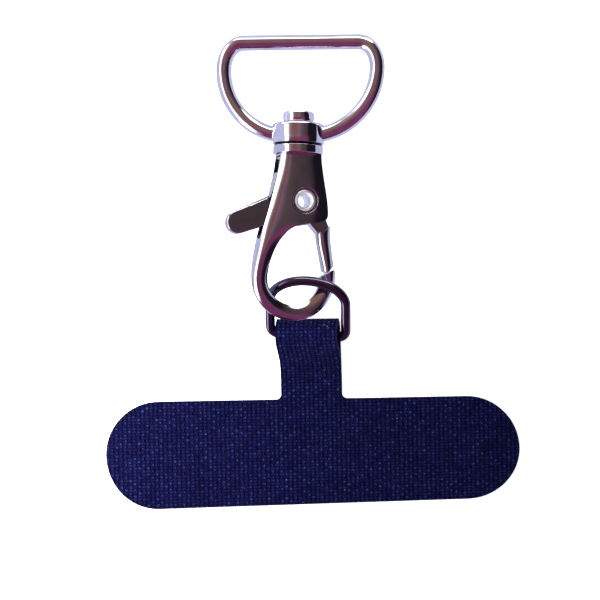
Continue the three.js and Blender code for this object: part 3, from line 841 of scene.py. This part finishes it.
def trigger_outline(clasp):
    """Blade between the cheeks and lever at its left, with a small arm to the gate."""
    along = Vector((-math.cos(clasp.lever_droop), -math.sin(clasp.lever_droop), 0))
    across = Vector((-along.y, along.x, 0))
    half = clasp.lever_width / 2 / MM
    reach = along * clasp.lever_reach / MM
    pivot = Vector((clasp.pivot_across / MM, 0, 0))
    under, over = pivot + reach / 2 - across * half, pivot + reach / 2 + across * half
    turn = math.degrees(math.atan2(-across.y, -across.x))
    blade = [(-2.60, 4.17, 0), (-3.50, 4.4, 0.3), (-4.02, 2.2, 0.6), (-4.62, 0.05, 0.5),
             (under.x, under.y, 0.9)]
    line = soften(blade) + arc(pivot + reach, half, turn, turn + 180, 18)
    rest = [(over.x, over.y, 0.5), (-2.3, -4.6, 0.3), (-0.4, -3.25, 0.6), (1.87, -3.35, 0.3),
            (3.2, -4.8, 0.2), (3.9, -5.2, 0.2), (4.7, -4.6, 0.2), (4.95, -3.7, 0.2), (4.45, -2.6, 0.4),
            (4.4, -0.3, 0.4), (3.1, 0.3, 0.5), (2.42, 1.88, 0.5), (0.67, 2.62, 0.6), (-1.76, 3.96, 0.4)]
    rounded = soften([(line[-1].x, line[-1].y, 0)] + rest + [(line[0].x, line[0].y, 0)])
    return clean([p * MM for p in line + rounded[1:-1]])


LEVER_START, LEVER_FADE, BLADE_SHARE = -4.2, 1.4, 0.15


def lever_weight(edge):
    """Share of the rounding: all of it on the lever that a thumb presses, little elsewhere."""
    lean = sorted(abs(f.normal.z) for f in edge.link_faces)
    across = (edge.verts[0].co.x + edge.verts[1].co.x) / 2 / MM
    if lean[0] > LEVEL or lean[1] < LEVEL:
        return 0
    return BLADE_SHARE + (1 - BLADE_SHARE) * ease((LEVER_START - across) / LEVER_FADE)


def build_trigger(clasp):
    look = plated_metal("trigger_chrome", clasp.steel, 0.11, 0.26)
    bm = bmesh.new()
    bore = arc((clasp.pivot_across, 0), RIVET_BORE * MM, 0, 360, 40)[:-1]
    cut_plate(bm, trigger_outline(clasp), clasp.blade_depth, bore)
    round_edges(bm, lever_weight)
    piece = finish_piece(bm, "trigger_plate", clasp_frame(), "lever", look, "trigger")
    add_modifier(piece, "BEVEL", width=0.34 * MM, segments=3, limit_method="WEIGHT",
                 use_clamp_overlap=False, harden_normals=True)
    build_gate(look)


GATE = [
    [(5.44, -3.50), (3.95, -4.75), (3.05, -4.45)],
    [(5.50, -5.6), (4.25, -6.2), (3.26, -6.3)],
    [(5.84, -7.6), (4.62, -7.9), (3.70, -8.2)],
    [(6.16, -9.70), (4.96, -10.86), (4.20, -10.60)],
]
GATE_HALF, GATE_FALL, GATE_END_SHARE = 1.25, (0.62, 0, 0.62), 0.14


def build_gate(look):
    """The gate's sleeve, rounded like the hook's limb that it meets."""
    bm = bmesh.new()
    grow_rows(bm, [[Vector((u, v, GATE_HALF - fall)) * MM for (u, v), fall in zip(row, GATE_FALL)]
                   for row in GATE])
    for vert in grown(bmesh.ops.extrude_face_region(bm, geom=bm.faces[:], use_keep_orig=True)):
        vert.co.z = -vert.co.z
    bmesh.ops.recalc_face_normals(bm, faces=bm.faces)
    ends = [Vector(p) for row in (GATE[0], GATE[-1]) for p in row]

    def weigh(edge):
        lean = sorted(abs(f.normal.z) for f in edge.link_faces)
        if all(min((v.co.xy / MM - p).length for p in ends) < 0.01 for v in edge.verts):
            return GATE_END_SHARE
        return 1 if lean[1] > LEVEL and lean[0] < UPRIGHT else 0

    round_edges(bm, weigh)
    piece = finish_piece(bm, "gate_sleeve", clasp_frame(), "lever", look)
    add_modifier(piece, "BEVEL", width=0.5 * MM, segments=2, limit_method="WEIGHT")
    add_modifier(piece, "SUBSURF", levels=2, render_levels=2)


# Hollow rivet

def build_rivet(clasp):
    seat = clasp.housing_depth / 2 / MM - 0.55
    front = soften([(0.98, 0, 0), (0.98, seat, 0.25), (1.24, seat + 0.50, 0.24),
                    (1.64, seat + 0.36, 0.16), (1.66, seat, 0.06), (1.25, seat, 0), (1.25, 0, 0)])
    back = [Vector((p.x, -p.y, 0)) for p in reversed(front[1:-1])]
    bm = bmesh.new()
    turn_profile(bm, [p * MM for p in front + back], 48, UP, (clasp.pivot_across, 0, 0))
    look = plated_metal("rivet_chrome", clasp.rivet, 0.14, 0.28, metallic=0.45)
    finish_piece(
        bm, "pivot_rivet", clasp_frame(), "clasp", look, "pivot_eyelet", METAL_SHARP
    )


# Swivel

# The cap's foot, and half the thickness of the near-black disc that paints the shadow in the collar's gap
CAP_FOOT, GAP_SHADE_HALF = 7.25, 0.08
WIRE_SEAT = 0.8  # share of the collar's radius at which the wire starts


def build_swivel(swivel):
    look = plated_metal("bright_chrome", swivel.metal, 0.05, 0.14)
    radius, low = swivel.collar_radius / MM, swivel.collar_foot / MM
    top = (swivel.collar_foot + swivel.collar_height) / MM
    cap = [(0, CAP_FOOT, 0), (1.4, CAP_FOOT, 0), (1.4, top + 0.28, 0.05), (2.30, top + 0.28, 0.12),
           (2.42, top + 0.9, 0.3), (2.38, top + 1.85, 0.42), (0, top + 1.85, 0)]
    build_turned("swivel_cap", cap, 56, look, node="swivel_post")

    # Painted shade: a near-black disc fills the gap between the flange and the collar, so the gap reads as
    # a dark shadow line
    gap = (FLANGE_TOP + low) / 2
    under, over = gap - GAP_SHADE_HALF, gap + GAP_SHADE_HALF
    gap_shade_disc = [(1.45, under, 0), (3.70, under, 0.04), (3.70, over, 0.04), (1.45, over, 0)]
    painted = plated_metal("painted_gap_shade", swivel.gap_shade_disc, 0.35, 0.6)
    build_turned("swivel_gap_shade", gap_shade_disc, 64, painted)

    collar = [(1.7, low, 0.05), (radius - 0.10, low, 0.05), (radius, low + 0.9, 0.3),
              (radius - 0.02, top, 0.5), (1.7, top, 0.1)]
    build_turned("swivel_collar", collar, 72, look, "strap_end", turn=swivel.turn)
    build_loop(swivel, look)


def build_loop(swivel, look):
    middle = swivel.collar_foot + swivel.collar_height / 2
    bar = middle + swivel.rise
    widest = bar - swivel.shoulder
    centre = swivel.half_width - swivel.sweep
    start = math.degrees(math.acos((swivel.collar_radius * WIRE_SEAT - centre) / swivel.sweep))
    right = arc((centre, widest), swivel.sweep, -start, 0, 26)
    inward = swivel.half_width - swivel.bar_half
    right += arc((swivel.bar_half, widest), inward, 0, 90, 14, swivel.shoulder)
    right += [Vector((swivel.bar_half * (1 - i / 5), bar, 0)) for i in range(1, 5)]
    left = [Vector((-p.x, p.y, 0)) for p in reversed(right)]
    bm = bmesh.new()
    sweep_wire(bm, clean(right + [Vector((0, bar, 0))] + left), swivel.wire / 2, 28, False)
    finish_piece(
        bm, "strap_wire", loop_frame(swivel.turn), "strap_end", look, "strap_loop",
        METAL_SHARP,
    )


# Stage

def colour_ramp(make, value, stops):
    """A colour for each (value, colour) stop, from -1 to 1."""
    ramp = make.add("ValToRGB", {"Fac": make.spread(value, -1.0, 1.0)})
    points = ramp.color_ramp.elements
    while len(points) < len(stops):
        points.new(0.5)
    for point, (place, tint) in zip(points, stops):
        point.position = (place + 1) / 2
        point.color = rgba(tint)
    return ramp.outputs["Color"]


PALE = (4.6, 4.7, 5.0)
ROOM = [
    (-0.83, PALE), (-0.75, PALE), (-0.68, (0.85, 0.82, 0.92)), (-0.58, (0.40, 0.32, 0.26)),
    (-0.34, (0.25, 0.155, 0.10)), (0.05, (0.27, 0.17, 0.11)), (0.32, (0.12, 0.08, 0.08)),
    (0.62, (0.065, 0.050, 0.054)), (0.72, (0.012, 0.010, 0.016)),
]
ROSE, DEEP_ROSE, BLUE = (0.21, 0.047, 0.135), (0.035, 0.015, 0.035), (0.13, 0.11, 0.24)


def build_sky(make, stage):
    """Plain soft light all round, and a room that only metal mirrors.

    From left to right the room is the floor's colour, pale, brown and dark. Its near side is rose and
    its far side pale, with the floor's colour beyond and below.
    """
    ray = make.add("TexCoord").outputs["Generated"]
    across, along, up = make.add("SeparateXYZ", {"Vector": ray}).outputs
    room = colour_ramp(make, across, [(-0.88, stage.mirrored), *ROOM])
    rose = make.mix(make.spread(along, -0.90, -0.97), rgba(ROSE), rgba(DEEP_ROSE))
    near = make.times(make.spread(along, 0.08, -0.06), make.band(across, -0.72, -0.58, 0.55, 0.82))
    streak = make.times(make.band(across, -0.62, -0.54, -0.06, 0.06),
                        make.band(along, 0.09, 0.13, 0.40, 0.46), 0.42)
    room = make.mix(make.math("MAXIMUM", near, streak), room, rose)
    blue = make.times(make.band(across, 0.02, 0.14, 0.18, 0.32),
                      make.band(along, 0.10, 0.16, 0.36, 0.46), 0.65)
    room = make.mix(blue, room, rgba(BLUE))
    far = make.mix(make.spread(along, 0.93, 0.97), rgba(PALE), rgba(stage.mirrored))
    room = make.mix(make.spread(along, 0.80, 0.88), room, far)
    room = make.mix(make.spread(up, 0.02, -0.02), room, rgba(stage.mirrored))
    mirrored = make.add("Background", {"Color": room, "Strength": 1.0})
    plain = make.add("Background", {"Color": rgba(stage.floor), "Strength": stage.glow})
    both = mirrored_apart(make, plain, mirrored)
    make.feed(make.add("OutputWorld").inputs["Surface"], both)


def mirrored_apart(make, plain, mirrored):
    """One shader for mirror rays and another for all the rest."""
    glossy = make.add("LightPath").outputs["Is Glossy Ray"]
    shaders = {0: glossy, 1: plain.outputs[0], 2: mirrored.outputs[0]}
    return make.add("MixShader", shaders).outputs[0]


# Each lamp's place, aim, diameter in metres and power in watts
LAMPS = {
    "key_light": ((-0.10, -0.02, 0.055), (-0.02, -0.02, 0), 0.06, 0.39),
    "top_light": ((0.05, 0.10, 0.60), (0, 0, 0), 0.5, 0.7),
}


def add_light(name, place, target, size, power):
    lamp = bpy.data.lights.new(name, "AREA")
    lamp.shape, lamp.size, lamp.energy = "DISK", size, power
    light = add_object(name, lamp)
    light.visible_glossy = False
    light.location = place
    light.rotation_euler = (Vector(target) - Vector(place)).to_track_quat("-Z", "Y").to_euler()


FLOOR_HALF, FLOOR_DROP, GRAIN_SHADE = 1.5, 0.02 * MM, 0.985


def build_stage(stage):
    look, make, shader = start_material("pale_floor")
    grain = make.noise(make.add("TexCoord").outputs["Object"], scale=900.0)
    tint = make.mix(grain, rgba(stage.floor), rgba(c * GRAIN_SHADE for c in stage.floor))
    make.fill(shader, {
        "Base Color": tint, "Roughness": 0.9, "Specular IOR Level": 0.1,
        "Emission Color": rgba(stage.floor), "Emission Strength": stage.floor_glow,
    })
    shine = make.add("Emission", {"Color": rgba(stage.mirrored), "Strength": 1.0})
    both = mirrored_apart(make, shader, shine)
    make.feed(look.node_tree.get_output_node("ALL").inputs["Surface"], both)
    bm = bmesh.new()
    bmesh.ops.create_grid(bm, x_segments=2, y_segments=2, size=FLOOR_HALF)
    floor = add_mesh(bm, "floor", look)
    floor.location = (0, 0, -FLOOR_DROP)

    world = bpy.data.worlds.new("studio")
    scene = bpy.context.scene
    scene.world = world
    world.use_nodes = True
    world.node_tree.nodes.clear()
    build_sky(NodeMaker(world.node_tree), stage)
    for name, lamp in LAMPS.items():
        add_light(name, *lamp)

    camera = bpy.data.cameras.new("photo_camera")
    camera.sensor_width = 36
    camera.lens = stage.lens
    camera.clip_start, camera.clip_end = 0.01, 10
    seat = add_object("photo_camera", camera)
    seat.location = (stage.camera_across, stage.camera_along, stage.camera_distance)
    seat.rotation_euler = (stage.tilt_across, stage.tilt_along, stage.roll)
    scene.camera = seat
    scene.view_settings.view_transform = "Standard"


# Operators

class TETHER_OT_cloth(Operator):
    """Builds the woven cloth tab with its fold"""
    bl_idname = "tether.cloth"
    bl_label = "Cloth tab"

    def execute(self, context):
        build_cloth(context.scene.tether_cloth)
        return {"FINISHED"}


class TETHER_OT_ring(Operator):
    """Builds the small ring in the fold"""
    bl_idname = "tether.ring"
    bl_label = "Small ring"

    def execute(self, context):
        build_ring(context.scene.tether_ring)
        return {"FINISHED"}


class TETHER_OT_casting(Operator):
    """Builds the clasp's casting: housing, hook and flange"""
    bl_idname = "tether.casting"
    bl_label = "Clasp casting"

    def execute(self, context):
        build_casting(context.scene.tether_clasp)
        return {"FINISHED"}


class TETHER_OT_trigger(Operator):
    """Builds the trigger: lever, blade and gate"""
    bl_idname = "tether.trigger"
    bl_label = "Trigger"

    def execute(self, context):
        build_trigger(context.scene.tether_clasp)
        return {"FINISHED"}


class TETHER_OT_rivet(Operator):
    """Builds the hollow rivet that the trigger turns on"""
    bl_idname = "tether.rivet"
    bl_label = "Hollow rivet"

    def execute(self, context):
        build_rivet(context.scene.tether_clasp)
        return {"FINISHED"}


class TETHER_OT_swivel(Operator):
    """Builds the swivel's cap and collar, the strap loop, and a near-black disc that paints the shadow in
    the collar's gap
    """
    bl_idname = "tether.swivel"
    bl_label = "Swivel and strap loop"

    def execute(self, context):
        build_swivel(context.scene.tether_swivel)
        return {"FINISHED"}


class TETHER_OT_stage(Operator):
    """Sets the plain floor, the soft light and the camera"""
    bl_idname = "tether.stage"
    bl_label = "Stage"

    def execute(self, context):
        build_stage(context.scene.tether_stage)
        return {"FINISHED"}


class TETHER_PT_build(Panel):
    bl_label = "Phone tether"
    bl_idname = "TETHER_PT_build"
    bl_space_type = "VIEW_3D"
    bl_region_type = "UI"
    bl_category = "Tether"

    def draw(self, context):
        for operator in OPERATORS:
            self.layout.operator(operator.bl_idname)
        for name in SETTINGS:
            box = self.layout.box()
            settings = getattr(context.scene, name)
            for key in settings.__annotations__:
                box.prop(settings, key)


SETTINGS = {
    "tether_cloth": ClothSettings,
    "tether_ring": RingSettings,
    "tether_clasp": ClaspSettings,
    "tether_swivel": SwivelSettings,
    "tether_stage": StageSettings,
}
OPERATORS = [
    TETHER_OT_stage, TETHER_OT_ring, TETHER_OT_cloth, TETHER_OT_casting, TETHER_OT_trigger,
    TETHER_OT_rivet, TETHER_OT_swivel,
]


def register():
    for kind in [*SETTINGS.values(), *OPERATORS, TETHER_PT_build]:
        bpy.utils.register_class(kind)
    for name, kind in SETTINGS.items():
        setattr(bpy.types.Scene, name, PointerProperty(type=kind))


def unregister():
    for name in SETTINGS:
        delattr(bpy.types.Scene, name)
    for kind in [TETHER_PT_build, *OPERATORS, *SETTINGS.values()]:
        bpy.utils.unregister_class(kind)


def main():
    register()
    bpy.ops.tether.stage()
    bpy.ops.tether.ring()
    bpy.ops.tether.cloth()
    bpy.ops.tether.casting()
    bpy.ops.tether.trigger()
    bpy.ops.tether.rivet()
    bpy.ops.tether.swivel()


if __name__ == "__main__":
    main()
